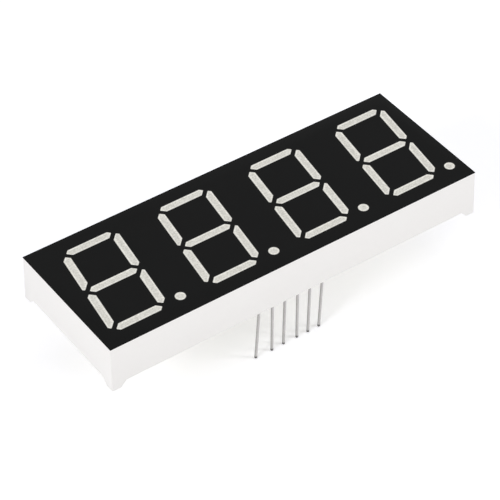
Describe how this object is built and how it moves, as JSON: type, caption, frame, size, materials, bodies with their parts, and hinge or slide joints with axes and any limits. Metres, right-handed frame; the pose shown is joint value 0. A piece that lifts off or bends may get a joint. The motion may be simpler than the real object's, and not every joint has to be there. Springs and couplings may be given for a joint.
{
  "type": "seven segment display module",
  "caption": "Seven-segment numeric display: a black-faced white reflector housing with leaning resin-filled segments, decimal points, corner feet and rows of through-hole pins.",
  "frame": {"origin": "centre of the pin pattern on the seating plane, which the corner feet stand on", "axes": "+X along the row of digits from the first to the last, +Y towards the digits' tops, +Z out of the front face; the pins point to -Z"},
  "size_m": [0.0724, 0.0264, 0.021],
  "materials": {
    "housing_plastic": "white moulded plastic, satin gloss",
    "mask_ink": "black screen-printed mask, satin",
    "segment_resin": "milky grey cast resin, unlit",
    "die_crystal": "polished semiconductor crystal",
    "wire_metal": "bare drawn wire",
    "board_laminate": "glass-fibre laminate with solder mask",
    "solder_metal": "bright solder",
    "sealant_resin": "clear to milky potting resin, glossy",
    "pin_metal": "dull tin plate on drawn wire"
  },
  "bodies": {
    "root": {"reflector_housing": "housing_plastic", "face_mask": "mask_ink", "digit_1_segment_a": "segment_resin", "digit_1_segment_b": "segment_resin", "digit_1_segment_c": "segment_resin", "digit_1_segment_d": "segment_resin", "digit_1_segment_e": "segment_resin", "digit_1_segment_f": "segment_resin", "digit_1_segment_g": "segment_resin", "digit_2_segment_a": "segment_resin", "digit_2_segment_b": "segment_resin", "digit_2_segment_c": "segment_resin", "digit_2_segment_d": "segment_resin", "digit_2_segment_e": "segment_resin", "digit_2_segment_f": "segment_resin", "digit_2_segment_g": "segment_resin", "digit_3_segment_a": "segment_resin", "digit_3_segment_b": "segment_resin", "digit_3_segment_c": "segment_resin", "digit_3_segment_d": "segment_resin", "digit_3_segment_e": "segment_resin", "digit_3_segment_f": "segment_resin", "digit_3_segment_g": "segment_resin", "digit_4_segment_a": "segment_resin", "digit_4_segment_b": "segment_resin", "digit_4_segment_c": "segment_resin", "digit_4_segment_d": "segment_resin", "digit_4_segment_e": "segment_resin", "digit_4_segment_f": "segment_resin", "digit_4_segment_g": "segment_resin", "digit_1_decimal_point": "segment_resin", "digit_2_decimal_point": "segment_resin", "digit_3_decimal_point": "segment_resin", "digit_4_decimal_point": "segment_resin", "led_dies": "die_crystal", "bond_wires": "wire_metal", "circuit_board": "board_laminate", "solder_joints": "solder_metal", "rear_sealant": "sealant_resin", "pin_01": "pin_metal", "pin_02": "pin_metal", "pin_03": "pin_metal", "pin_04": "pin_metal", "pin_05": "pin_metal", "pin_06": "pin_metal", "pin_07": "pin_metal", "pin_08": "pin_metal", "pin_09": "pin_metal", "pin_10": "pin_metal", "pin_11": "pin_metal", "pin_12": "pin_metal"}
  },
  "joints": []
}
